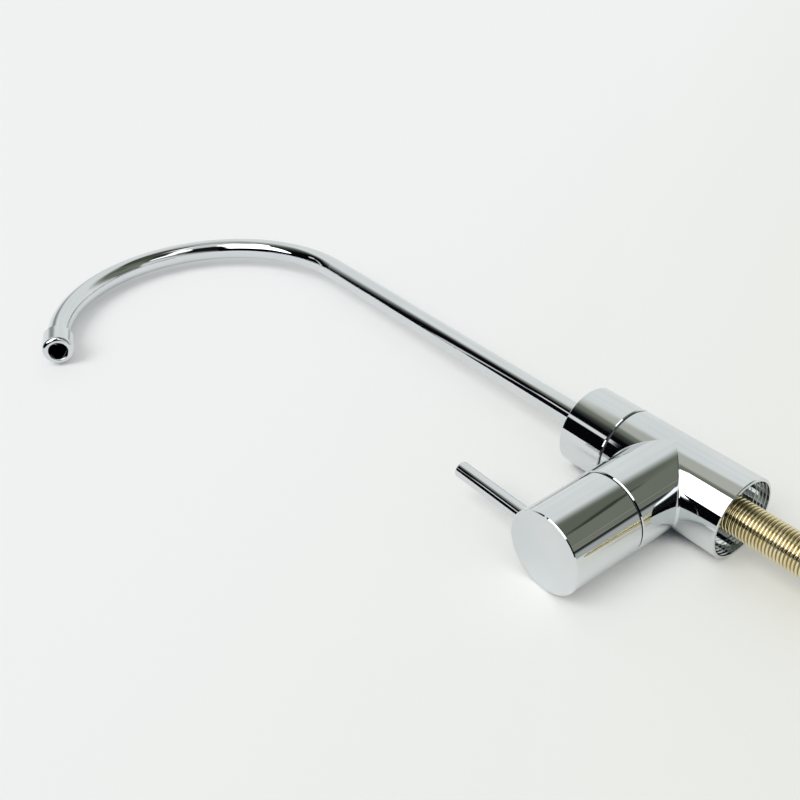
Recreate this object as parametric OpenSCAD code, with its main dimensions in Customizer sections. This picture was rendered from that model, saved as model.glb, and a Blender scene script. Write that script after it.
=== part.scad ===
// Drinking water filter tap: upright body with a side lever handle, a swivel gooseneck spout and a threaded shank.
// Sizes are in millimetres. Z runs up the body axis from the deck, and the side branch points along -X.

/* [Body] */
// Diameter of the upright body, the side branch and the spout collar
body_d = 28; // [27:0.5:34]
// Height of the body from the deck to the swivel joint
body_h = 45; // [40:0.5:60]
// Depth from the top of the body to the axis of the side branch
branch_drop = 17.5; // [16:0.5:19]
// Distance from the body axis to the end face of the side branch
branch_reach = 29; // [27:0.5:40]
// Width of the edge breaks on the turned outer edges
edge_break = 0.3; // [0.2:0.1:0.8]

/* [Skirt] */
// Wall of the hollow skirt that stands on the deck
skirt_wall = 1; // [0.9:0.1:2.4]
// Depth of the hollow skirt
skirt_depth = 9; // [8:0.5:10.5]
// Number of turned grooves inside the mouth of the skirt
groove_count = 4; // [1:1:5]
// Pitch of the turned grooves
groove_pitch = 1.2; // [1:0.1:1.4]
// Width of one turned groove
groove_w = 0.6; // [0.4:0.1:0.8]
// Depth of one turned groove
groove_depth = 0.3; // [0.2:0.1:0.5]

/* [Shank] */
// Outside diameter of the threaded shank
shank_d = 12; // [10:0.5:13]
// Length of the shank below the deck
shank_len = 55; // [40:1:70]
// Length of the shank that is screwed into the body
shank_engage = 7; // [5:0.5:8]
// Waterway through the shank
shank_bore = 6.5; // [5:0.5:7]
// Waterway from the shank up to the cartridge seat
inlet_d = 6; // [5:0.5:6]
// Width of the thread relief where the shank meets the body
relief_w = 2; // [1:0.5:3]
// Depth of the thread relief
relief_depth = 0.8; // [0.4:0.1:1.2]
// Lead chamfer at the lower end of the shank
shank_chamfer = 1; // [0.5:0.1:1.4]
// Thickness of the flat seal above the shank
shank_seal_h = 1.5; // [1:0.1:2]

/* [Spout] */
// Height of the collar that turns with the spout
collar_h = 17.2; // [14:0.2:24]
// Outside diameter of the spout tube
tube_d = 9; // [8:0.5:11]
// Wall of the spout tube
tube_wall = 0.9; // [0.7:0.1:1.2]
// Height above the deck at which the bend begins
bend_start = 215; // [150:0.5:260]
// Radius of the bend on the tube axis
bend_r = 61.7; // [40:0.1:80]
// Angle of the bend
bend_angle = 158; // [120:1:170]
// Outside diameter of the nozzle
nozzle_d = 11.9; // [11.5:0.1:15]
// Length of the nozzle
nozzle_len = 10.8; // [8:0.2:14]
// Thickness of the lip that closes over the tube end
lip_h = 1.5; // [1.3:0.1:2.5]
// Rounding of the outer edge of the lip
lip_round = 1.7; // [0.5:0.1:2]
// Rounding of the inner edge of the mouth
mouth_round = 0.6; // [0.2:0.1:0.8]
// Depth by which the tube end is turned down inside the nozzle
spigot_step = 0.2; // [0.1:0.05:0.25]

/* [Spout swivel] */
// Gap between the body and the collar, which shows as a groove
swivel_gap = 0.6; // [0.4:0.1:1]
// Diameter of the socket in the top of the body
socket_d = 12; // [11:0.5:13]
// Diameter of the head of the spout stem inside the collar
stem_head_d = 18; // [16:0.5:20]
// Height of the head of the spout stem
stem_head_h = 9; // [8:0.5:11]
// Depth of the tube seat in the head of the stem
tube_seat_depth = 5; // [4:0.5:6]
// Waterway through the stem
stem_bore = 6; // [4.5:0.5:6.5]
// Diameter of the nose below the sealed length of the stem
stem_nose_d = 9; // [8.5:0.1:9.5]
// Depth from the top of the body to the middle of the upper seal
upper_seal_depth = 2; // [1.8:0.1:2.2]
// Depth from the top of the body to the middle of the snap ring
snap_ring_depth = 4.1; // [3.9:0.1:4.3]
// Depth from the top of the body to the middle of the lower seal
lower_seal_depth = 6.3; // [6.1:0.1:6.5]
// Length of the stem that runs in the socket
stem_land_h = 7.8; // [7.6:0.1:8.2]
// Section of the stem seals
stem_ring_section = 1.2; // [1:0.1:1.3]
// Thickness of the snap ring
snap_ring_h = 0.8; // [0.6:0.1:0.9]
// Depth of the snap ring in the stem
snap_ring_bite = 0.8; // [0.6:0.1:1]
// Reach of the snap ring into the wall of the socket
snap_ring_reach = 0.6; // [0.4:0.1:0.8]

/* [Cartridge] */
// Diameter of the cartridge bore in the side branch
cartridge_bore_d = 20; // [19:0.5:21]
// Depth of the cartridge bore
cartridge_depth = 17; // [16:0.5:18]
// Diameter of the cartridge along its side windows
window_zone_d = 17; // [16.8:0.1:17.4]
// Diameter of the cartridge flange that seats on the branch face
flange_d = 22.4; // [21.6:0.1:23]
// Thickness of the cartridge flange
flange_h = 1; // [0.8:0.1:1.5]
// Distance across the flats of the cartridge hexagon
hex_flats = 19; // [17:0.5:19.2]
// Thickness of the cartridge hexagon
hex_h = 3; // [2.5:0.5:4]
// Diameter of the inlet hole through the cartridge seat
seat_bore_d = 7; // [5:0.5:7]
// Outside diameter of the seat seal
seat_seal_d = 13; // [12:0.2:13.6]
// Thickness of the seat seal
seat_seal_h = 3; // [2.5:0.1:3.2]
// Clear height between the cartridge seat and the cartridge housing
seat_clear = 1.5; // [1:0.1:1.8]
// Diameter of the ceramic discs
disc_d = 14; // [13:0.2:14.4]
// Thickness of each ceramic disc
disc_h = 2.5; // [2:0.1:2.6]
// Inner radius of the ports in the discs
port_r = 2.2; // [1.8:0.1:2.6]
// Width of the ring of ports in the fixed disc
port_w = 3.2; // [2.4:0.1:3.4]
// Angle of one port
port_angle = 80; // [60:1:84]
// Width of a side window
window_w = 7; // [5:0.5:9]
// Height of a side window
window_h = 4; // [3:0.2:4.4]
// Section of the seal round the cartridge
cartridge_ring_section = 1.4; // [1:0.1:1.6]
// Distance from the branch face to the middle of the seal round the cartridge
cartridge_ring_inset = 1.6; // [1.4:0.1:2]
// Diameter of the outlet passage from the cartridge to the spout socket
outlet_d = 4; // [3:0.2:4.4]
// Margin between the outlet passage and the wall of the cartridge bore
outlet_margin = 1; // [0.6:0.1:1.4]
// Wall between the cartridge inlet and the floor of the spout socket
floor_wall = 2; // [1.5:0.1:2.2]

/* [Spindle] */
// Diameter of the spindle bore
spindle_bore_d = 8; // [7:0.2:8.4]
// Diameter of the driving head of the spindle
spindle_head_d = 12.6; // [11:0.2:13]
// Thickness of the driving head
spindle_head_h = 1.8; // [1.5:0.1:2]
// Width of the tongue that turns the moving disc
tongue_w = 3; // [2.4:0.1:3.2]
// Height of the tongue
tongue_h = 1.2; // [0.8:0.1:1.4]
// Thickness of the thrust washer under the head
thrust_washer_h = 0.6; // [0.4:0.1:0.8]
// Section of the spindle seals
spindle_ring_section = 1; // [0.8:0.1:1.1]
// Distance from the branch face to the middle of the inner spindle seal
inner_ring_inset = 3.4; // [3.2:0.1:3.6]
// Distance from the branch face to the middle of the outer spindle seal
outer_ring_inset = 0.8; // [0.6:0.1:1]
// Thickness of the spindle circlip
circlip_h = 0.8; // [0.6:0.1:1]
// Outside diameter of the spindle circlip
circlip_d = 11; // [10.5:0.1:12]
// Depth of the circlip groove in the spindle
circlip_bite = 0.8; // [0.6:0.1:1]
// Distance across the flats of the spindle square
square_w = 6; // [5:0.2:6.2]
// Length of the spindle square in the handle
square_len = 11; // [9:0.5:11.5]

/* [Handle] */
// Diameter of the handle barrel
handle_d = 27.6; // [27:0.2:34]
// Length of the handle barrel
handle_len = 27; // [26:0.2:40]
// Gap between the side branch and the handle, which shows as a groove
handle_gap = 0.4; // [0.3:0.1:1]
// Wall of the barrel round the cartridge hexagon
handle_wall = 1.8; // [1.5:0.1:2]
// Width of the edge break round the flat end of the barrel
end_break = 0.3; // [0.2:0.1:1]
// Diameter of the lever
lever_d = 5.6; // [5:0.1:7]
// Length of the lever outside the barrel
lever_out = 31; // [20:0.5:60]
// Depth of the lever in the barrel
lever_seat = 8; // [6:0.5:8.5]
// Distance from the flat end of the barrel to the lever axis
lever_inset = 7.1; // [6:0.1:7.4]
// Rounding of the lever tip
tip_round = 0.6; // [0.2:0.1:1.5]
// Diameter of the set screw
set_screw_d = 4; // [3:0.5:5]
// Angle round the barrel from the lever to the set screw, which sits at the back
set_screw_turn = 90; // [90:90:180]
// Depth of the set screw below the surface of the barrel
set_screw_sink = 1; // [0.5:0.1:2]
// Distance across the flats of the key socket in the set screw
key_w = 2; // [1.5:0.1:2.5]
// Depth of the key socket
key_depth = 2.5; // [1.5:0.1:3]

/* [Clearances] */
// Radial clearance of turning fits
running_gap = 0.05; // [0.02:0.01:0.1]
// Radial clearance of screwed and brazed fits
thread_gap = 0.05; // [0.02:0.01:0.1]
// End clearance between faces that turn on each other
axial_gap = 0.05; // [0.03:0.01:0.1]
// Radial clearance round loose inner pieces
loose_gap = 0.3; // [0.2:0.05:0.4]
// Clearance between the spindle circlip and the floor of the barrel recess
recess_gap = 1; // [0.5:0.1:1.2]
// Seat clearance of rings and clips in their grooves
seat_gap = 0.05; // [0.02:0.01:0.1]

/* [Hidden] */
$fn = 96;
cut = 1;
body_r = body_d / 2;
branch_h = body_h - branch_drop;
socket_r = socket_d / 2;
bore_r = cartridge_bore_d / 2;

// Shank and inlet, measured up from the deck
shank_top = skirt_depth + shank_engage;
inlet_floor = shank_top + shank_seal_h;

// Spout socket and stem, measured up from the deck
socket_floor = branch_h + seat_bore_d / 2 + floor_wall;
collar_z = body_h + swivel_gap;
stem_r = socket_r - running_gap;
land_bottom = body_h - stem_land_h;
stem_bottom = (socket_floor + land_bottom) / 2;
tube_bottom = collar_z + stem_head_h - tube_seat_depth;
spigot_r = tube_d / 2 - spigot_step;
spigot_bore_r = tube_d / 2 - tube_wall + spigot_step / 2;
snap_z = body_h - snap_ring_depth;
stem_ring_floor = socket_r - seat_gap - stem_ring_section - seat_gap;

// Cartridge stack, measured out from the body axis along the branch
seat_t = branch_reach - cartridge_depth;
housing_t = seat_t + seat_clear;
fixed_t = seat_t + seat_seal_h;
moving_t = fixed_t + disc_h + axial_gap;
head_t = moving_t + disc_h;
washer_t = head_t + spindle_head_h;
shoulder_t = washer_t + thrust_washer_h + axial_gap;
hex_t = branch_reach + hex_h;
circlip_t = hex_t + axial_gap;
chamber_d = disc_d + 2 * loose_gap;
window_t = shoulder_t - window_h - thrust_washer_h;
cartridge_ring_t = branch_reach - cartridge_ring_inset;
cartridge_ring_floor = bore_r - seat_gap - cartridge_ring_section - seat_gap;
outlet_z = bore_r - outlet_margin - outlet_d / 2;

// Spindle and handle, measured out from the body axis along the branch
spindle_r = spindle_bore_d / 2 - running_gap;
spindle_ring_floor = spindle_bore_d / 2 - seat_gap - spindle_ring_section - seat_gap;
recess_t = circlip_t + circlip_h + recess_gap;
square_end = recess_t + square_len;
handle_t = branch_reach + handle_gap;
handle_end = handle_t + handle_len;
handle_r = handle_d / 2;
recess_d = handle_d - 2 * handle_wall;
lever_t = handle_end - lever_inset;
set_screw_t = recess_t + square_len / 2;
screw_bottom = square_w / 2 + seat_gap;

// Places a piece that was drawn along Z on the branch axis, with its X side up
module on_branch(t = 0) {
    translate([0, 0, branch_h])
        rotate([0, -90, 0])
            translate([0, 0, t])
                children();
}

// Places a piece at the end of the bend, with Z along the flow
module at_bend_end() {
    translate([-bend_r, 0, bend_start])
        rotate([0, -bend_angle, 0])
            translate([bend_r, 0, 0])
                children();
}

// Turned cylinder with an edge break at each end
module turned(r, h, low_break, high_break) {
    rotate_extrude()
        polygon([
            [0, 0], [r - low_break, 0], [r, low_break],
            [r, h - high_break], [r - high_break, h], [0, h]
        ]);
}

// Flat ring
module ring(r_in, r_out, h) {
    difference() {
        cylinder(r = r_out, h = h);
        translate([0, 0, -cut])
            cylinder(r = r_in, h = h + 2 * cut);
    }
}

// Split ring with its gap towards +X
module split_ring(r_in, r_out, h) {
    difference() {
        ring(r_in, r_out, h);
        translate([0, -r_in / 4, -cut])
            cube([r_out + cut, r_in / 2, h + 2 * cut]);
    }
}

// Round-section seal whose outer side lies on the given radius
module seal(r_out, section) {
    rotate_extrude()
        translate([r_out - section / 2, 0])
            circle(d = section);
}

// Groove cut into a shaft, centred on Z = 0
module shaft_groove(r_floor, r_out, w) {
    translate([0, 0, -w / 2])
        ring(r_floor, r_out + cut, w);
}

// Two opposed ports between two radii
module ports(r_in, r_out, h) {
    for (side = [0, 180])
        rotate([0, 0, side - port_angle / 2])
            rotate_extrude(angle = port_angle)
                translate([r_in, 0])
                    square([r_out - r_in, h]);
}

// Upright run and bend of the spout with the given diameter, lengthened at the lower end
module spout_path(d, over) {
    translate([0, 0, tube_bottom - over])
        cylinder(d = d, h = bend_start - tube_bottom + over);
    translate([-bend_r, 0, bend_start])
        rotate([90, 0, 0])
            rotate_extrude(angle = bend_angle)
                translate([bend_r, 0])
                    circle(d = d);
}

module body() {
    color([0.80, 0.82, 0.84])
        difference() {
            union() {
                turned(body_r, body_h, edge_break, edge_break);
                on_branch()
                    turned(body_r, branch_reach, 0, edge_break);
            }
            skirt_hollow();
            inlet_way();
            cartridge_way();
            spout_socket();
        }
}

// Hollow skirt with turned grooves inside its mouth
module skirt_hollow() {
    translate([0, 0, -cut])
        cylinder(r = body_r - skirt_wall, h = skirt_depth + cut);
    for (i = [0 : groove_count - 1])
        translate([0, 0, groove_pitch * (i + 0.5)])
            cylinder(r = body_r - skirt_wall + groove_depth, h = groove_w);
}

// Shank socket and the rising inlet
module inlet_way() {
    cylinder(r = shank_d / 2 + thread_gap, h = inlet_floor);
    cylinder(d = inlet_d, h = branch_h);
}

// Cartridge bore, seat hole and outlet passage
module cartridge_way() {
    on_branch(seat_t)
        cylinder(r = bore_r, h = cartridge_depth + cut);
    on_branch(-seat_bore_d / 2)
        cylinder(d = seat_bore_d, h = seat_t + seat_bore_d / 2 + cut);
    on_branch()
        translate([outlet_z, 0, 0])
            cylinder(d = outlet_d, h = seat_t + cut);
}

// Spout socket with the groove for the snap ring
module spout_socket() {
    translate([0, 0, socket_floor])
        cylinder(r = socket_r, h = body_h - socket_floor + cut);
    translate([0, 0, snap_z - snap_ring_h / 2 - 3 * axial_gap])
        cylinder(r = socket_r + snap_ring_reach + loose_gap, h = snap_ring_h + 6 * axial_gap);
}

module shank() {
    color([0.80, 0.70, 0.46])
        difference() {
            translate([0, 0, -shank_len])
                turned(shank_d / 2, shank_len + shank_top, shank_chamfer, edge_break);
            translate([0, 0, -shank_len - cut])
                cylinder(d = shank_bore, h = shank_len + shank_top + 2 * cut);
            translate([0, 0, skirt_depth - relief_w / 2])
                shaft_groove(shank_d / 2 - relief_depth, shank_d / 2, relief_w);
        }
}

module shank_seal() {
    color([0.12, 0.12, 0.12])
        translate([0, 0, shank_top])
            ring(shank_bore / 2 + 2 * loose_gap, shank_d / 2, shank_seal_h);
}

module spout_collar() {
    color([0.80, 0.82, 0.84])
        translate([0, 0, collar_z])
            difference() {
                turned(body_r, collar_h, edge_break, edge_break);
                translate([0, 0, -cut])
                    cylinder(d = stem_head_d, h = stem_head_h + cut);
                cylinder(r = tube_d / 2 + thread_gap, h = collar_h + cut);
            }
}

module spout_tube() {
    color([0.80, 0.82, 0.84])
        difference() {
            union() {
                spout_path(tube_d, 0);
                at_bend_end()
                    translate([0, 0, -cut])
                        cylinder(r = spigot_r, h = nozzle_len - lip_h + cut);
            }
            spout_path(tube_d - 2 * tube_wall, cut);
            at_bend_end()
                translate([0, 0, -cut])
                    cylinder(r = spigot_bore_r, h = nozzle_len + 2 * cut);
        }
}

module spout_nozzle() {
    tube_r = spigot_r + thread_gap;
    mouth_r = tube_d / 2 - tube_wall;
    nozzle_r = nozzle_d / 2;
    color([0.80, 0.82, 0.84])
        at_bend_end()
            rotate_extrude()
                difference() {
                    union() {
                        polygon([
                            [0, 0], [nozzle_r - edge_break, 0], [nozzle_r, edge_break],
                            [nozzle_r, nozzle_len - lip_round], [nozzle_r - lip_round, nozzle_len],
                            [0, nozzle_len]
                        ]);
                        translate([nozzle_r - lip_round, nozzle_len - lip_round])
                            circle(r = lip_round);
                    }
                    translate([0, -cut])
                        square([tube_r, nozzle_len - lip_h + cut]);
                    square([mouth_r, nozzle_len + cut]);
                    difference() {
                        translate([0, nozzle_len - mouth_round])
                            square([mouth_r + mouth_round, mouth_round + cut]);
                        translate([mouth_r + mouth_round, nozzle_len - mouth_round])
                            circle(r = mouth_round);
                    }
                }
}

module spout_stem() {
    color([0.80, 0.70, 0.46])
        difference() {
            union() {
                translate([0, 0, collar_z])
                    cylinder(r = stem_head_d / 2 - thread_gap, h = stem_head_h);
                translate([0, 0, land_bottom])
                    cylinder(r = stem_r, h = collar_z - land_bottom);
                translate([0, 0, stem_bottom])
                    cylinder(d = stem_nose_d, h = collar_z - stem_bottom);
            }
            translate([0, 0, stem_bottom - cut])
                cylinder(d = stem_bore, h = tube_bottom - stem_bottom + 2 * cut);
            translate([0, 0, tube_bottom])
                cylinder(r = tube_d / 2 + thread_gap, h = tube_seat_depth + cut);
            for (depth = [upper_seal_depth, lower_seal_depth])
                translate([0, 0, body_h - depth])
                    shaft_groove(stem_ring_floor, stem_r, stem_ring_section + 4 * seat_gap);
            translate([0, 0, snap_z])
                shaft_groove(stem_r - snap_ring_bite, stem_r, snap_ring_h + 2 * seat_gap);
        }
}

module stem_o_ring_upper() {
    color([0.12, 0.12, 0.12])
        translate([0, 0, body_h - upper_seal_depth])
            seal(socket_r - seat_gap, stem_ring_section);
}

module stem_o_ring_lower() {
    color([0.12, 0.12, 0.12])
        translate([0, 0, body_h - lower_seal_depth])
            seal(socket_r - seat_gap, stem_ring_section);
}

module stem_snap_ring() {
    color([0.75, 0.75, 0.72])
        translate([0, 0, snap_z - snap_ring_h / 2])
            split_ring(stem_r - snap_ring_bite + seat_gap, socket_r + snap_ring_reach, snap_ring_h);
}

module swivel_washer() {
    color([0.15, 0.15, 0.16])
        translate([0, 0, body_h])
            ring(socket_r + loose_gap, body_r - 2 * edge_break, swivel_gap - axial_gap);
}

module cartridge_housing() {
    color([0.80, 0.70, 0.46])
        on_branch()
            difference() {
                union() {
                    translate([0, 0, housing_t])
                        cylinder(d = window_zone_d, h = hex_t - housing_t);
                    translate([0, 0, shoulder_t])
                        cylinder(r = bore_r - thread_gap, h = hex_t - shoulder_t);
                    translate([0, 0, branch_reach])
                        cylinder(d = flange_d, h = flange_h);
                    translate([0, 0, branch_reach])
                        cylinder(d = hex_flats / cos(30), h = hex_h, $fn = 6);
                }
                translate([0, 0, housing_t - cut])
                    cylinder(d = chamber_d, h = shoulder_t - housing_t + cut);
                cylinder(d = spindle_bore_d, h = hex_t + cut);
                translate([-window_zone_d, -window_w / 2, window_t])
                    cube([2 * window_zone_d, window_w, window_h]);
                translate([0, 0, cartridge_ring_t])
                    shaft_groove(cartridge_ring_floor, bore_r, cartridge_ring_section + 4 * seat_gap);
            }
}

module cartridge_o_ring() {
    color([0.12, 0.12, 0.12])
        on_branch(cartridge_ring_t)
            seal(bore_r - seat_gap, cartridge_ring_section);
}

module seat_seal() {
    color([0.12, 0.12, 0.12])
        on_branch(seat_t)
            ring(seat_bore_d / 2, seat_seal_d / 2, seat_seal_h);
}

module fixed_disc() {
    color([0.95, 0.94, 0.90])
        on_branch(fixed_t)
            difference() {
                cylinder(d = disc_d, h = disc_h);
                translate([0, 0, -cut])
                    ports(port_r, port_r + port_w, disc_h + 2 * cut);
            }
}

module moving_disc() {
    color([0.90, 0.90, 0.88])
        on_branch(moving_t)
            difference() {
                cylinder(d = disc_d, h = disc_h);
                translate([0, 0, -cut])
                    rotate([0, 0, 90])
                        ports(port_r, disc_d, disc_h + 2 * cut);
                translate([-disc_d, -tongue_w / 2, disc_h - tongue_h])
                    cube([2 * disc_d, tongue_w, tongue_h + cut]);
            }
}

module spindle() {
    tongue_len = disc_d - 2 * loose_gap;
    color([0.80, 0.70, 0.46])
        on_branch()
            difference() {
                union() {
                    translate([0, 0, head_t])
                        cylinder(d = spindle_head_d, h = spindle_head_h);
                    translate([-tongue_len / 2, -tongue_w / 2 + seat_gap, head_t - tongue_h + seat_gap])
                        cube([tongue_len, tongue_w - 2 * seat_gap, tongue_h]);
                    translate([0, 0, head_t])
                        cylinder(r = spindle_r, h = recess_t - head_t);
                    intersection() {
                        translate([0, 0, head_t])
                            cylinder(r = spindle_r, h = square_end - head_t);
                        translate([-square_w / 2, -square_w / 2, head_t])
                            cube([square_w, square_w, square_end - head_t]);
                    }
                }
                for (inset = [inner_ring_inset, outer_ring_inset])
                    translate([0, 0, branch_reach - inset])
                        shaft_groove(spindle_ring_floor, spindle_r, spindle_ring_section + 4 * seat_gap);
                translate([0, 0, circlip_t + circlip_h / 2])
                    shaft_groove(spindle_r - circlip_bite, spindle_r, circlip_h + 2 * seat_gap);
            }
}

module spindle_thrust_washer() {
    color([0.92, 0.92, 0.90])
        on_branch(washer_t)
            ring(spindle_bore_d / 2, spindle_head_d / 2, thrust_washer_h);
}

module spindle_o_ring_inner() {
    color([0.12, 0.12, 0.12])
        on_branch(branch_reach - inner_ring_inset)
            seal(spindle_bore_d / 2 - seat_gap, spindle_ring_section);
}

module spindle_o_ring_outer() {
    color([0.12, 0.12, 0.12])
        on_branch(branch_reach - outer_ring_inset)
            seal(spindle_bore_d / 2 - seat_gap, spindle_ring_section);
}

module spindle_circlip() {
    color([0.60, 0.61, 0.62])
        on_branch(circlip_t)
            split_ring(spindle_r - circlip_bite + seat_gap, circlip_d / 2, circlip_h);
}

module handle_slip_ring() {
    color([0.15, 0.15, 0.16])
        on_branch(branch_reach)
            ring(recess_d / 2 + loose_gap, handle_r - 2 * edge_break, handle_gap - axial_gap);
}

module handle_barrel() {
    color([0.80, 0.82, 0.84])
        on_branch()
            difference() {
                translate([0, 0, handle_t])
                    turned(handle_r, handle_len, edge_break, end_break);
                translate([0, 0, handle_t - cut])
                    cylinder(d = recess_d, h = recess_t - handle_t + cut);
                intersection() {
                    translate([0, 0, recess_t - cut])
                        cylinder(r = spindle_r + thread_gap, h = square_len + 2 * cut);
                    translate([-square_w / 2 - thread_gap, -square_w / 2 - thread_gap, recess_t - cut])
                        cube([square_w + 2 * thread_gap, square_w + 2 * thread_gap, square_len + 2 * cut]);
                }
                translate([handle_r - lever_seat, 0, lever_t])
                    rotate([0, 90, 0])
                        cylinder(r = lever_d / 2 + thread_gap, h = lever_seat + cut);
                translate([0, 0, set_screw_t])
                    rotate([0, 90, set_screw_turn])
                        cylinder(r = set_screw_d / 2 + thread_gap, h = handle_r + cut);
            }
}

module handle_set_screw() {
    screw_len = handle_r - set_screw_sink - screw_bottom;
    color([0.35, 0.35, 0.36])
        on_branch(set_screw_t)
            rotate([0, 90, set_screw_turn])
                translate([0, 0, screw_bottom])
                    difference() {
                        turned(set_screw_d / 2, screw_len, edge_break, edge_break);
                        translate([0, 0, screw_len - key_depth])
                            cylinder(d = key_w / cos(30), h = key_depth + cut, $fn = 6);
                    }
}

module lever_rod() {
    lever_r = lever_d / 2;
    lever_len = lever_seat + lever_out;
    color([0.80, 0.82, 0.84])
        on_branch(lever_t)
            translate([handle_r - lever_seat, 0, 0])
                rotate([0, 90, 0])
                    rotate_extrude()
                        union() {
                            square([lever_r - tip_round, lever_len]);
                            square([lever_r, lever_len - tip_round]);
                            translate([lever_r - tip_round, lever_len - tip_round])
                                intersection() {
                                    circle(r = tip_round);
                                    square(tip_round);
                                }
                        }
}

body();
shank();
shank_seal();
spout_collar();
spout_tube();
spout_nozzle();
spout_stem();
stem_o_ring_upper();
stem_o_ring_lower();
stem_snap_ring();
swivel_washer();
cartridge_housing();
cartridge_o_ring();
seat_seal();
fixed_disc();
moving_disc();
spindle();
spindle_thrust_washer();
spindle_o_ring_inner();
spindle_o_ring_outer();
spindle_circlip();
handle_slip_ring();
handle_barrel();
handle_set_screw();
lever_rod();
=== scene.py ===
"""Looks of a chromed drinking water filter tap, lying on a pale table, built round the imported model."""

import math

import bmesh
import bpy
from mathutils import Matrix, Vector


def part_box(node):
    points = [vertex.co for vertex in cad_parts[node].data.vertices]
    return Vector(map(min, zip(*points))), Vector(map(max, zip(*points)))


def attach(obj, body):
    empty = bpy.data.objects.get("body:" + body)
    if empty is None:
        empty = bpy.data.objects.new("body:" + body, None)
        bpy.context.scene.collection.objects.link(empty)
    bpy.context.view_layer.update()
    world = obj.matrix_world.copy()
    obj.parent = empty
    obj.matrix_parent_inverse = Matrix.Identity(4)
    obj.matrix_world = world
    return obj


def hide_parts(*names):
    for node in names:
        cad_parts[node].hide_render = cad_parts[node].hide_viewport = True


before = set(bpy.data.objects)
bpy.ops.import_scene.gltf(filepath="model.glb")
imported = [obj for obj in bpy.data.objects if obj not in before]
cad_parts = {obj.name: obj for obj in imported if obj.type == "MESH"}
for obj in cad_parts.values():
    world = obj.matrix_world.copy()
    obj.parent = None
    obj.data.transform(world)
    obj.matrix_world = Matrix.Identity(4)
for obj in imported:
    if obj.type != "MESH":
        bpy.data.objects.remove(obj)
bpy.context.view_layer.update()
scene = bpy.context.scene

# The photograph's camera, in the part's own frame: metres, directions, and pixels of the picture.
EYE = Vector((-0.211417, -0.197969, -0.112763))
RIGHT = Vector((0.78641056, 0.02182503, -0.61731848))
DOWN = Vector((-0.36154899, 0.82656604, -0.43135937))
AHEAD = Vector((0.50084006, 0.56241644, 0.65791108))
IMAGE = 800.0
FOCAL = 969.677
CENTRE = (406.648, 390.990)

# The tap lies on its side: the table's up, away from the camera, and right.
UP = Vector((0.0, -1.0, 0.0))
AWAY = Vector((0.60572, 0.0, 0.79568))
ASIDE = Vector((0.79568, 0.0, -0.60572))
# The table lies flat under body and handle. Past a line from the collar's end to the handle's end it
# rises to the spout: the flat part's place, the collar's end, and the slopes along X and Z past the line.
TABLE_Y = 0.01402
COLLAR_END_Z = 0.0628
TABLE_SLOPE = (0.0211, -0.0280)

# Sizes of the threaded shank, in metres. The relief under the body has two heights and a radius.
PITCH = 0.0012
CREST_R = 0.00595
SHANK_LOW = -0.055
SHANK_TOP = 0.016
SHANK_BORE_R = 0.00325
SHANK_END_R = 0.0050
RELIEF = (0.007, 0.009, 0.0052)


# Node trees


def add(tree, kind, inputs=None, **settings):
    """A new node; an input is a value or another node's output."""
    node = tree.nodes.new(kind)
    for name, value in settings.items():
        setattr(node, name, value)
    for name, value in (inputs or {}).items():
        if isinstance(value, bpy.types.NodeSocket):
            tree.links.new(value, node.inputs[name])
        else:
            node.inputs[name].default_value = value
    return node


def step(tree, value, low, high, to_low=0.0, to_high=1.0):
    """A smooth step of a value from low to high."""
    node = add(tree, "ShaderNodeMapRange",
               {0: value, 1: low, 2: high, 3: to_low, 4: to_high},
               interpolation_type="SMOOTHSTEP")
    return node.outputs[0]


def ramp(tree, value, low, high, to_low, to_high):
    """A straight, clamped ramp of a value from low to high."""
    return add(tree, "ShaderNodeMapRange", {0: value, 1: low, 2: high, 3: to_low, 4: to_high}).outputs[0]


def times(tree, *values):
    """The product of several values."""
    result = values[0]
    for value in values[1:]:
        result = add(tree, "ShaderNodeMath", {0: result, 1: value}, operation="MULTIPLY").outputs[0]
    return result


def mix(tree, share, first, second):
    """Two colours mixed by a share."""
    node = add(tree, "ShaderNodeMix", {0: share, 6: first, 7: second}, data_type="RGBA")
    return node.outputs[2]


def rgb(red, green, blue):
    """An opaque colour."""
    return (red, green, blue, 1.0)


def noise(tree, place, scale, detail=2.0, rough=0.5):
    """A cloudy value from 0 to 1 at a place."""
    node = add(tree, "ShaderNodeTexNoise",
               {"Vector": place, "Scale": scale, "Detail": detail, "Roughness": rough})
    return node.outputs[0]


def off_axis(tree, place):
    """The distance from the tap's upright axis."""
    flat = add(tree, "ShaderNodeVectorMath", {0: place, 1: (1.0, 1.0, 0.0)}, operation="MULTIPLY")
    return add(tree, "ShaderNodeVectorMath", {0: flat.outputs[0]}, operation="LENGTH").outputs[1]


def material(name):
    """An empty material with its output and the object coordinates in metres."""
    made = bpy.data.materials.new(name)
    made.use_nodes = True
    tree = made.node_tree
    tree.nodes.clear()
    out = add(tree, "ShaderNodeOutputMaterial")
    place = add(tree, "ShaderNodeTexCoord").outputs["Object"]
    return made, tree, out, place


def finish_shader(tree, out, colour, rough, height, depth, metallic):
    """A Principled shader with a fine bump, joined to the output."""
    bump = add(tree, "ShaderNodeBump", {"Height": height, "Distance": depth, "Strength": 1.0})
    shader = add(tree, "ShaderNodeBsdfPrincipled",
                 {"Base Color": colour, "Roughness": rough, "Metallic": metallic,
                  "Normal": bump.outputs[0]})
    tree.links.new(shader.outputs[0], out.inputs[0])


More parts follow.
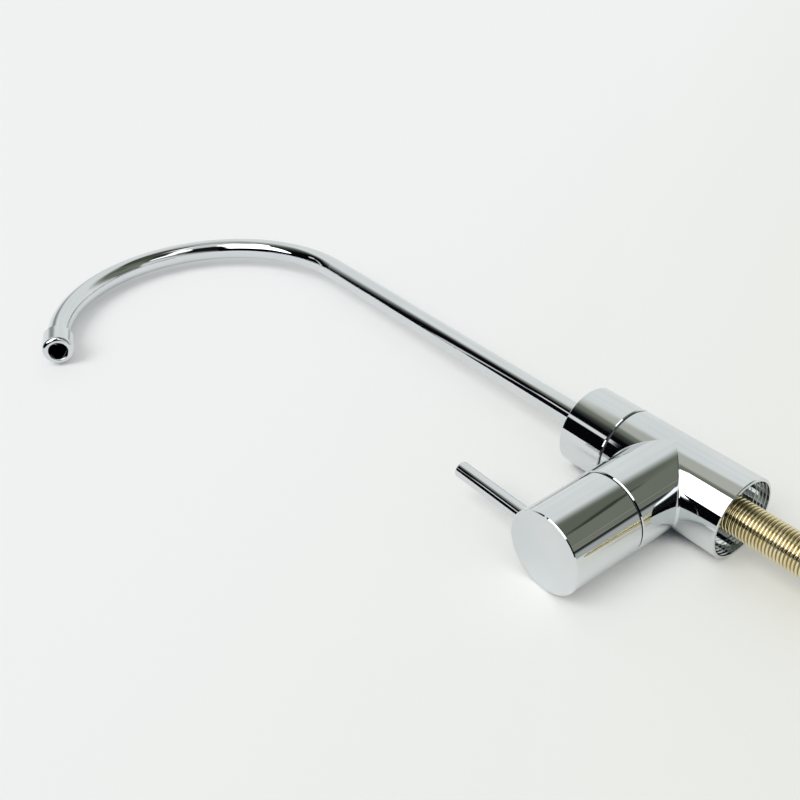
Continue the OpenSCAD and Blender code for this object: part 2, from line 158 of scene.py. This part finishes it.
def chrome_material():
    """Bright plating: a cool mirror, with faint polishing waves, a breath of haze, and painted shade
    inside the skirt.
    """
    made, tree, out, place = material("chrome_plate")
    haze = noise(tree, place, 38.0, 3.0)
    tint = mix(tree, step(tree, haze, 0.3, 0.7), rgb(0.695, 0.722, 0.738), rgb(0.735, 0.756, 0.766))
    smear = noise(tree, place, 520.0, 4.0, 0.6)
    rough = step(tree, smear, 0.35, 0.75, 0.018, 0.05)
    # Inside the skirt, within its wall, under its roof and over its rim, the plating is darkened as
    # painted shade of the hollow, and made a little rougher.
    radius = off_axis(tree, place)
    height = add(tree, "ShaderNodeSeparateXYZ", {0: place}).outputs[2]
    in_wall = step(tree, radius, 0.01348, 0.01336)
    under_roof = step(tree, height, 0.0096, 0.0092)
    over_rim = step(tree, height, 0.00002, 0.0001)
    recess_shade = times(tree, in_wall, under_roof, over_rim)
    tint = mix(tree, recess_shade, tint, rgb(0.60, 0.62, 0.61))
    duller = add(tree, "ShaderNodeMath", {0: recess_shade, 1: 0.03, 2: rough}, operation="MULTIPLY_ADD")
    wave = noise(tree, place, 130.0, 1.0)
    finish_shader(tree, out, tint, duller.outputs[0], wave, 0.000012, metallic=1.0)
    return made


def plated_brass_material():
    """Nickel-washed brass of the threaded shank: warm and satin, with turning marks, stains, and painted
    shade in the roots of the thread.
    """
    made, tree, out, place = material("plated_brass")
    stain = noise(tree, place, 240.0, 4.0, 0.6)
    tint = mix(tree, step(tree, stain, 0.35, 0.7), rgb(0.77, 0.68, 0.42), rgb(0.86, 0.79, 0.58))
    # The roots of the thread are darkened: painted shade in the grooves.
    radius = off_axis(tree, place)
    tint = mix(tree, step(tree, radius, 0.00588, 0.0054), tint, rgb(0.44, 0.36, 0.18))
    fine = noise(tree, place, 1800.0, 3.0, 0.6)
    rough = step(tree, fine, 0.3, 0.7, 0.09, 0.17)
    finish_shader(tree, out, tint, rough, fine, 0.000008, metallic=1.0)
    return made


def brass_material():
    """Raw machined brass of the inner pieces, with tool marks."""
    made, tree, out, place = material("raw_brass")
    stain = noise(tree, place, 180.0, 4.0, 0.6)
    tint = mix(tree, step(tree, stain, 0.3, 0.7), rgb(0.66, 0.47, 0.20), rgb(0.80, 0.62, 0.32))
    fine = noise(tree, place, 2200.0, 2.0)
    rough = step(tree, fine, 0.3, 0.7, 0.22, 0.38)
    finish_shader(tree, out, tint, rough, fine, 0.000006, metallic=1.0)
    return made


def steel_material():
    """Spring steel of the circlip, the snap ring and the set screw."""
    made, tree, out, place = material("spring_steel")
    stain = noise(tree, place, 300.0, 4.0, 0.6)
    tint = mix(tree, step(tree, stain, 0.3, 0.7), rgb(0.33, 0.33, 0.34), rgb(0.50, 0.50, 0.50))
    fine = noise(tree, place, 2600.0, 2.0)
    rough = step(tree, fine, 0.3, 0.7, 0.25, 0.42)
    finish_shader(tree, out, tint, rough, fine, 0.000005, metallic=1.0)
    return made


def soft_material(name, dark, light, low, high, grain):
    """Rubber, nylon or ceramic: a plain colour with a mottle and a moulded or ground grain."""
    made, tree, out, place = material(name)
    mottle = noise(tree, place, 210.0, 4.0, 0.6)
    tint = mix(tree, step(tree, mottle, 0.3, 0.7), dark, light)
    fine = noise(tree, place, grain, 3.0, 0.6)
    rough = step(tree, fine, 0.3, 0.7, low, high)
    finish_shader(tree, out, tint, rough, fine, 0.000012, metallic=0.0)
    return made


def dress_nodes():
    """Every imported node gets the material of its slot."""
    by_slot = {
        "chrome": chrome_material(),
        "shank_brass": plated_brass_material(),
        "brass": brass_material(),
        "steel": steel_material(),
        "rubber": soft_material("nitrile_rubber", rgb(0.012, 0.012, 0.013), rgb(0.028, 0.028, 0.029),
                                0.45, 0.65, 2400.0),
        "nylon_dark": soft_material("dark_nylon", rgb(0.030, 0.031, 0.033), rgb(0.052, 0.053, 0.055),
                                    0.35, 0.52, 1800.0),
        "nylon_pale": soft_material("pale_nylon", rgb(0.70, 0.69, 0.65), rgb(0.78, 0.77, 0.73),
                                    0.35, 0.5, 1800.0),
        "ceramic": soft_material("ground_ceramic", rgb(0.80, 0.80, 0.78), rgb(0.87, 0.87, 0.86),
                                 0.12, 0.26, 3000.0),
    }
    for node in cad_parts.values():
        for place in node.material_slots:
            place.material = by_slot[place.material.name.split(".")[0]]
    return by_slot


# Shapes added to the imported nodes


def shank_radius(profile, height):
    """The thread's radius at a height, cut by the end chamfers and the relief under the body."""
    limit = min(CREST_R, SHANK_END_R + (height - SHANK_LOW), SHANK_END_R + (SHANK_TOP - height))
    low, high, radius = RELIEF
    outside = max(low - height, height - high, 0.0)
    limit = min(limit, radius + outside)
    return min(profile, limit)


def threaded_shank(finish):
    """The shank with its helical thread, bore and chamfered ends, in one mesh."""
    # One turn of the thread: share of the pitch, and radius.
    profile = ((0.0, CREST_R), (0.15, 0.00594), (0.21, 0.00588), (0.42, 0.00538),
               (0.5, 0.00534), (0.58, 0.00538), (0.79, 0.00588), (0.85, 0.00594))
    count = 72
    rows = len(profile)
    turns = math.ceil((SHANK_TOP - SHANK_LOW) / PITCH) + 2
    crease = math.radians(38.0)
    verts = []
    for row in range((turns + 1) * rows):
        for column in range(count):
            share, radius = profile[row % rows]
            angle = 2 * math.pi * column / count
            height = SHANK_LOW + PITCH * (row // rows + share + column / count - 1)
            height = min(max(height, SHANK_LOW), SHANK_TOP)
            radius = shank_radius(radius, height)
            verts.append((radius * math.cos(angle), radius * math.sin(angle), height))
    faces = []
    for row in range((turns + 1) * rows - 1):
        for column in range(count - 1):
            first = row * count + column
            faces.append((first, first + 1, first + count + 1, first + count))
        if row + 1 + rows < (turns + 1) * rows:
            last = row * count + count - 1
            faces.append((last, (row + rows) * count, (row + rows + 1) * count, last + count))
    # The bore, its eased mouths and the two ring faces.
    ease = 0.0004
    mouth_r = SHANK_BORE_R + ease
    bore = ((SHANK_LOW, SHANK_END_R), (SHANK_LOW, mouth_r), (SHANK_LOW + ease, SHANK_BORE_R),
            (SHANK_TOP - ease, SHANK_BORE_R), (SHANK_TOP, mouth_r), (SHANK_TOP, SHANK_END_R))
    start = len(verts)
    for height, radius in bore:
        for column in range(count):
            angle = 2 * math.pi * column / count
            verts.append((radius * math.cos(angle), radius * math.sin(angle), height))
    for ring in range(len(bore) - 1):
        for column in range(count):
            after = (column + 1) % count
            first = start + ring * count
            faces.append((first + column, first + count + column, first + count + after, first + after))
    mesh = bpy.data.meshes.new("threaded_shank")
    mesh.from_pydata(verts, [], faces)
    shank = bpy.data.objects.new("threaded_shank", mesh)
    scene.collection.objects.link(shank)
    clean_mesh(mesh, crease)
    mesh.materials.append(finish)
    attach(shank, "tap_body")
    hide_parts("shank")


def junction_fillet(finish):
    """The cast fillet in the two creases between the upright body and its side branch."""
    # The body's radius less a hair, so that the fillet's rims sink into the metal.
    body_r = 0.013985
    branch_drop = 0.0175
    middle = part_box("body")[1].z - branch_drop
    ball = 0.001
    sunk = 0.0003
    swing = 87.0
    around = 96
    across = 12
    ring = across + 2
    verts = []
    normals = []
    faces = []
    for side in (-1, 1):
        start = len(verts)
        for row in range(around + 1):
            angle = math.radians(-swing + 2.0 * swing * row / around)
            sine = math.sin(angle)
            cosine = math.cos(angle)
            reach = body_r + ball
            centre = Vector((-reach * cosine, reach * sine, middle + side * reach * cosine))
            first = Vector((cosine, -sine, 0.0))
            last = Vector((0.0, -sine, -side * cosine))
            for column in range(across + 1):
                way = first.slerp(last, column / across)
                verts.append(centre + ball * way)
                normals.append(-way)
            inner = body_r - sunk
            verts.append(Vector((-inner * cosine, inner * sine, middle + side * inner * cosine)))
            normals.append(Vector((-1.0, 0.0, side)).normalized())
        for row in range(around):
            for column in range(ring):
                here = start + row * ring + column
                after = start + row * ring + (column + 1) % ring
                faces.append((here, after, after + ring, here + ring))
        faces.append(tuple(range(start, start + ring)))
        faces.append(tuple(range(start + around * ring, start + (around + 1) * ring)))
    mesh = bpy.data.meshes.new("junction_fillet")
    mesh.from_pydata(verts, [], faces)
    fillet = bpy.data.objects.new("junction_fillet", mesh)
    scene.collection.objects.link(fillet)
    turn_outward(mesh)
    mesh.shade_smooth()
    mesh.normals_split_custom_set_from_vertices(normals)
    mesh.materials.append(finish)
    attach(fillet, "tap_body")


def turn_outward(mesh):
    """Turns every face outward."""
    work = bmesh.new()
    work.from_mesh(mesh)
    bmesh.ops.recalc_face_normals(work, faces=work.faces)
    work.to_mesh(mesh)
    work.free()


def clean_mesh(mesh, sharp):
    """Joins points that meet, drops faces that closed up, and shades smoothly up to an angle."""
    work = bmesh.new()
    work.from_mesh(mesh)
    bmesh.ops.remove_doubles(work, verts=work.verts, dist=2e-6)
    bmesh.ops.dissolve_degenerate(work, dist=1e-6, edges=work.edges)
    bmesh.ops.recalc_face_normals(work, faces=work.faces)
    work.to_mesh(mesh)
    work.free()
    mesh.shade_smooth()
    mesh.set_sharp_from_angle(angle=sharp)


# Stage, light and camera


def table_top():
    """The pale table the tap lies on, seen only from its upper side."""
    # Places are aside and away. The left edge, which the tube mirrors, runs just out of the picture and
    # turns outward past a bend.
    reach = 4.0
    edge = -0.305
    bend = 0.13
    flare = 0.36
    # How fast the sloped part rises aside and away, and where it leaves the flat part.
    rise_aside = TABLE_SLOPE[0] * ASIDE.x + TABLE_SLOPE[1] * ASIDE.z
    rise_away = TABLE_SLOPE[0] * AWAY.x + TABLE_SLOPE[1] * AWAY.z
    level = TABLE_SLOPE[1] * COLLAR_END_Z
    near_fold = (edge, (level - rise_aside * edge) / rise_away)
    far_fold = ((level - rise_away * reach) / rise_aside, reach)
    far_left = (edge - flare * (reach - bend), reach)
    outline = (near_fold, far_fold, far_left, (edge, bend),
               (reach, reach), (reach, -reach), (edge, -reach))
    sloped_face = (0, 1, 2, 3)
    flat_face = (1, 0, 6, 5, 4)
    corners = []
    for aside, away in outline:
        spot = aside * ASIDE + away * AWAY
        spot.y = TABLE_Y + min(0.0, rise_aside * aside + rise_away * away - level)
        corners.append(spot)
    mesh = bpy.data.meshes.new("table_top")
    mesh.from_pydata(corners, [], [sloped_face, flat_face])
    if mesh.polygons[0].normal.y > 0:
        mesh.flip_normals()
    table = bpy.data.objects.new("table_top", mesh)
    scene.collection.objects.link(table)
    made, tree, out, place = material("pale_table")
    # Painted shade: the table is drawn a little warmer and darker near the camera on the right.
    near_right = (ASIDE - 0.5 * AWAY).normalized()
    slide = add(tree, "ShaderNodeVectorMath", {0: place, 1: near_right}, operation="DOT_PRODUCT")
    warm = step(tree, slide.outputs[1], -0.25, 0.2)
    tint = mix(tree, warm, rgb(0.885, 0.89, 0.89), rgb(0.80, 0.807, 0.755))
    # Painted shade: in a tight corner under the metal the table's colour is made almost black.
    crowding = 0.012
    open_share = add(tree, "ShaderNodeAmbientOcclusion", {"Distance": crowding}, samples=16).outputs["AO"]
    tint = mix(tree, step(tree, open_share, 0.21, 0.06), tint, rgb(0.0, 0.03, 0.05))
    tooth = noise(tree, place, 900.0, 2.0)
    bump = add(tree, "ShaderNodeBump", {"Height": tooth, "Distance": 0.00002})
    paper = add(tree, "ShaderNodeBsdfDiffuse", {"Color": tint, "Normal": bump.outputs[0]})
    # A small share of its light is its own, which softens the shadows.
    own_share = 0.12
    glow = add(tree, "ShaderNodeEmission", {"Color": tint, "Strength": 0.98})
    lit = add(tree, "ShaderNodeMixShader", {0: own_share, 1: paper.outputs[0], 2: glow.outputs[0]})
    clear = add(tree, "ShaderNodeBsdfTransparent")
    underside = add(tree, "ShaderNodeNewGeometry").outputs["Backfacing"]
    both = add(tree, "ShaderNodeMixShader", {0: underside, 1: lit.outputs[0], 2: clear.outputs[0]})
    tree.links.new(both.outputs[0], out.inputs[0])
    mesh.materials.append(made)


def studio_world():
    """A pale room for the camera and the table; mirrors see a sweep, windows and a dark room behind."""
    world = bpy.data.worlds.new("studio")
    scene.world = world
    world.use_nodes = True
    tree = world.node_tree
    tree.nodes.clear()
    coord = add(tree, "ShaderNodeTexCoord").outputs["Generated"]
    ray = add(tree, "ShaderNodeVectorMath", {0: coord}, operation="NORMALIZE").outputs[0]

    def along(way):
        """The ray's share along a direction."""
        return add(tree, "ShaderNodeVectorMath", {0: ray, 1: way}, operation="DOT_PRODUCT").outputs[1]

    def degrees(value):
        """An angle in degrees."""
        return add(tree, "ShaderNodeMath", {0: value, 1: 180 / math.pi}, operation="MULTIPLY").outputs[0]

    def between(value, low, high, soft):
        """One from low to high, zero outside, with soft edges."""
        above = step(tree, value, low - soft, low + soft)
        below = step(tree, value, high + soft, high - soft)
        return times(tree, above, below)

    def total(*values):
        """The sum of several values."""
        result = values[0]
        for value in values[1:]:
            result = add(tree, "ShaderNodeMath", {0: result, 1: value}, operation="ADD").outputs[0]
        return result

    # The ray's height over the table, its turn to the right from straight away, and that turn unsigned.
    climb = add(tree, "ShaderNodeMath", {0: along(UP)}, operation="ARCSINE")
    lift = degrees(climb.outputs[0])
    swing = add(tree, "ShaderNodeMath", {0: along(ASIDE), 1: along(AWAY)}, operation="ARCTAN2")
    turn = degrees(swing.outputs[0])
    behind = add(tree, "ShaderNodeMath", {0: turn}, operation="ABSOLUTE").outputs[0]

    # A pale sweep stands beyond the table; a dim olive room is over and beside it.
    back = add(tree, "ShaderNodeMath", {0: turn, 1: -1.0}, operation="MULTIPLY").outputs[0]
    past_left = step(tree, total(back, ramp(tree, lift, 0.0, 60.0, -82.5, 7.5)), 32.0, 58.0)
    past_right = step(tree, total(turn, times(tree, lift, 1.25)), 86.0, 120.0)
    over = add(tree, "ShaderNodeMath", {0: past_left, 1: past_right}, operation="MAXIMUM").outputs[0]
    deep = times(tree, step(tree, turn, 40.0, 60.0), step(tree, lift, 45.0, 50.0))
    olive = mix(tree, deep, rgb(0.19, 0.205, 0.165), rgb(0.14, 0.152, 0.12))
    patches = noise(tree, ray, 5.0, 2.0)
    pale = mix(tree, step(tree, patches, 0.35, 0.65), rgb(0.825, 0.855, 0.842), rgb(0.875, 0.90, 0.887))
    view = mix(tree, over, pale, olive)
    # The sweep dims overhead, and two dark places are high on the right.
    high = times(tree, step(tree, lift, 54.0, 61.0), between(turn, -55.0, 38.0, 8.0))
    view = mix(tree, high, view, rgb(0.52, 0.53, 0.47))
    gloom = times(tree, step(tree, turn, 4.0, 13.0), step(tree, lift, 58.0, 62.0))
    view = mix(tree, gloom, view, rgb(0.075, 0.08, 0.06))
    nook = times(tree, step(tree, turn, 100.0, 118.0), step(tree, lift, 38.0, 48.0))
    view = mix(tree, nook, view, rgb(0.03, 0.033, 0.026))
    # On the left the room falls off to black, with a grey notch before it.
    low_lean = ramp(tree, lift, 25.0, 42.0, 5.95, 0.0)
    high_lean = ramp(tree, lift, 46.0, 70.0, 0.0, 28.8)
    lean = total(turn, 62.0, low_lean, high_lean)
    dark = mix(tree, step(tree, lift, 42.0, 50.0), rgb(0.002, 0.002, 0.003), rgb(0.040, 0.043, 0.041))
    view = mix(tree, step(tree, lean, 12.0, -12.0), view, dark)
    notch = times(tree, between(turn, -42.0, -24.0, 6.0), between(lift, 12.0, 28.0, 5.0), 0.75)
    view = mix(tree, notch, view, rgb(0.15, 0.16, 0.165))
    # On the right there is a cluttered shelf with a dark edge and a strip of light under it.
    shelf = times(tree, step(tree, turn, 88.0, 96.0), step(tree, lift, 28.0, 25.0))
    flattened = {0: times(tree, lift, 0.33), 1: times(tree, turn, 0.02)}
    bands = add(tree, "ShaderNodeCombineXYZ", flattened).outputs[0]
    clutter = step(tree, noise(tree, bands, 1.0, 3.0), 0.38, 0.62)
    view = mix(tree, shelf, view, mix(tree, clutter, rgb(0.12, 0.13, 0.10), rgb(0.30, 0.31, 0.26)))
    edge = times(tree, step(tree, turn, 88.0, 96.0), between(lift, 11.5, 16.5, 1.0))
    view = mix(tree, edge, view, rgb(0.03, 0.035, 0.035))
    strip = times(tree, between(turn, 92.0, 113.0, 2.0), step(tree, lift, 10.5, 8.5))
    view = mix(tree, strip, view, rgb(0.44, 0.46, 0.45))
    # Past the shelf the foreground is pale and falls off to black behind.
    fade = step(tree, total(turn, times(tree, lift, 1.6)), 150.0, 205.0)
    apron = times(tree, step(tree, turn, 111.0, 117.0), step(tree, lift, 31.0, 27.0))
    view = mix(tree, apron, view, mix(tree, fade, rgb(0.75, 0.77, 0.74), rgb(0.01, 0.01, 0.01)))
    # A dark rail hangs high on the right.
    rail = times(tree, between(total(lift, times(tree, turn, 0.14)), 57.2, 59.8, 1.0),
                 between(turn, 74.0, 88.0, 3.0), 0.85)
    view = mix(tree, rail, view, rgb(0.02, 0.025, 0.015))
    # The far part of a window on the left, cut off by the slope of a blind: window_card() is the rest.
    # Under it is a black sill, and beside it a slit and a crack of light.
    blind = ramp(tree, lift, 57.0, 66.0, -115.0, -93.0)
    window = times(tree, step(tree, total(blind, back), -1.0, 1.0), between(lift, 20.0, 72.0, 1.5),
                   step(tree, turn, -174.0, -168.0))
    view = mix(tree, window, view, rgb(2.9, 2.93, 2.95))
    sill = times(tree, step(tree, turn, -105.0, -109.0), step(tree, lift, 29.0, 26.0))
    view = mix(tree, sill, view, rgb(0.002, 0.002, 0.003))
    slant = total(turn, times(tree, lift, -0.42))
    slit = times(tree, between(slant, -105.2, -98.5, 0.6), between(lift, 27.6, 34.6, 1.0))
    view = mix(tree, slit, view, rgb(0.85, 0.87, 0.88))
    crack = times(tree, between(turn, -87.6, -85.4, 0.8), step(tree, lift, 29.0, 26.0))
    view = mix(tree, crack, view, rgb(0.7, 0.72, 0.73))
    # A second window behind the camera on the right, a dark corner past it, and the lit ceiling.
    near_side = total(turn, ramp(tree, lift, 40.0, 45.0, 0.0, -13.0))
    right_window = times(tree, between(near_side, 119.0, 143.0, 2.0), between(lift, 33.0, 73.0, 1.5))
    far_corner = times(tree, step(tree, turn, 150.0, 156.0), between(lift, 20.0, 60.0, 5.0))
    view = mix(tree, far_corner, view, rgb(0.01, 0.01, 0.01))
    view = mix(tree, right_window, view, rgb(1.7, 1.72, 1.75))
    overhead = times(tree, step(tree, behind, 90.0, 106.0), step(tree, lift, 68.0, 77.0))
    view = mix(tree, overhead, view, rgb(1.2, 1.22, 1.2))
    ceiling = times(tree, step(tree, behind, 134.0, 150.0), step(tree, lift, 55.0, 66.0))
    view = mix(tree, ceiling, view, rgb(0.75, 0.77, 0.77))

    mirrored = add(tree, "ShaderNodeBackground", {"Color": view, "Strength": 1.0})
    fill = add(tree, "ShaderNodeBackground", {"Color": rgb(0.985, 1.0, 1.0), "Strength": 0.67})
    # The table gets more light by way of the chrome than the mirror image shows.
    thrown = mix(tree, window, rgb(1.25, 1.26, 1.26), rgb(3.0, 3.03, 3.05))
    bounce = add(tree, "ShaderNodeBackground", {"Color": thrown, "Strength": 1.0})
    # The camera sees a plain pale room past the table's edge.
    seen = add(tree, "ShaderNodeBackground", {"Color": rgb(0.87, 0.88, 0.875), "Strength": 1.0})
    path = add(tree, "ShaderNodeLightPath")
    direct = add(tree, "ShaderNodeMath", {0: path.outputs["Diffuse Depth"], 1: 0.5}, operation="LESS_THAN")
    shine = add(tree, "ShaderNodeMixShader",
                {0: direct.outputs[0], 1: bounce.outputs[0], 2: mirrored.outputs[0]})
    unseen = add(tree, "ShaderNodeMixShader",
                 {0: path.outputs["Is Glossy Ray"], 1: fill.outputs[0], 2: shine.outputs[0]})
    whole = add(tree, "ShaderNodeMixShader",
                {0: path.outputs["Is Camera Ray"], 1: unseen.outputs[0], 2: seen.outputs[0]})
    out = add(tree, "ShaderNodeOutputWorld")
    tree.links.new(whole.outputs[0], out.inputs[0])


def window_card():
    """The near part of the window, close enough that body and bend mirror it in different places."""
    # A flat light overhead by places aside and away, and a drop on its left by places away and up.
    height = 0.483
    left = -0.719
    flat = ((left, -0.077), (-0.408, 0.073), (-0.272, 0.101),
            (-0.202, -0.030), (-0.215, -0.090), (left, -0.400))
    drop = ((-0.077, height), (-0.077, 0.255), (-0.190, 0.262), (-0.400, 0.430), (-0.400, height))
    corners = [aside * ASIDE + away * AWAY + height * UP for aside, away in flat]
    corners += [left * ASIDE + away * AWAY + up * UP for away, up in drop]
    flat_face = range(len(flat))
    drop_face = range(len(flat), len(corners))
    mesh = bpy.data.meshes.new("window_card")
    mesh.from_pydata(corners, [], [flat_face, drop_face])
    card = bpy.data.objects.new("window_card", mesh)
    scene.collection.objects.link(card)
    made, tree, out, place = material("window_light")
    haze = mix(tree, noise(tree, place, 4.0), rgb(2.85, 2.88, 2.9), rgb(2.95, 2.98, 3.0))
    glow = add(tree, "ShaderNodeEmission", {"Color": haze, "Strength": 1.0})
    tree.links.new(glow.outputs[0], out.inputs[0])
    mesh.materials.append(made)
    # Only mirrors see it: the lamp gives its light to the table.
    card.visible_camera = False
    card.visible_diffuse = False
    card.visible_shadow = False
    card.visible_transmission = False


def soft_lamp():
    """The wide light of the window on the left, which gives the shadows their side."""
    data = bpy.data.lights.new("soft_lamp", "SUN")
    data.energy = 1.3
    data.angle = math.radians(40.0)
    lamp = bpy.data.objects.new("soft_lamp", data)
    scene.collection.objects.link(lamp)
    toward = (0.81 * UP - 0.31 * AWAY - 0.50 * ASIDE).normalized()
    lamp.rotation_mode = "QUATERNION"
    lamp.rotation_quaternion = (-toward).to_track_quat("-Z", "Y")
    lamp.visible_glossy = False
    lamp.visible_camera = False


def photo_camera():
    """The camera at the photograph's place."""
    data = bpy.data.cameras.new("photo_camera")
    sensor = 36.0
    data.sensor_width = sensor
    data.lens = FOCAL / IMAGE * sensor
    data.shift_x = (IMAGE / 2 - CENTRE[0]) / IMAGE
    data.shift_y = (CENTRE[1] - IMAGE / 2) / IMAGE
    data.clip_start = 0.01
    data.clip_end = 20.0
    camera = bpy.data.objects.new("photo_camera", data)
    scene.collection.objects.link(camera)
    turn = Matrix((RIGHT, -DOWN, -AHEAD)).transposed()
    camera.matrix_world = Matrix.Translation(EYE) @ turn.to_4x4()
    scene.camera = camera


scene.view_settings.view_transform = "Standard"
photo_camera()
studio_world()
window_card()
soft_lamp()
table_top()
finishes = dress_nodes()
threaded_shank(finishes["shank_brass"])
junction_fillet(finishes["chrome"])
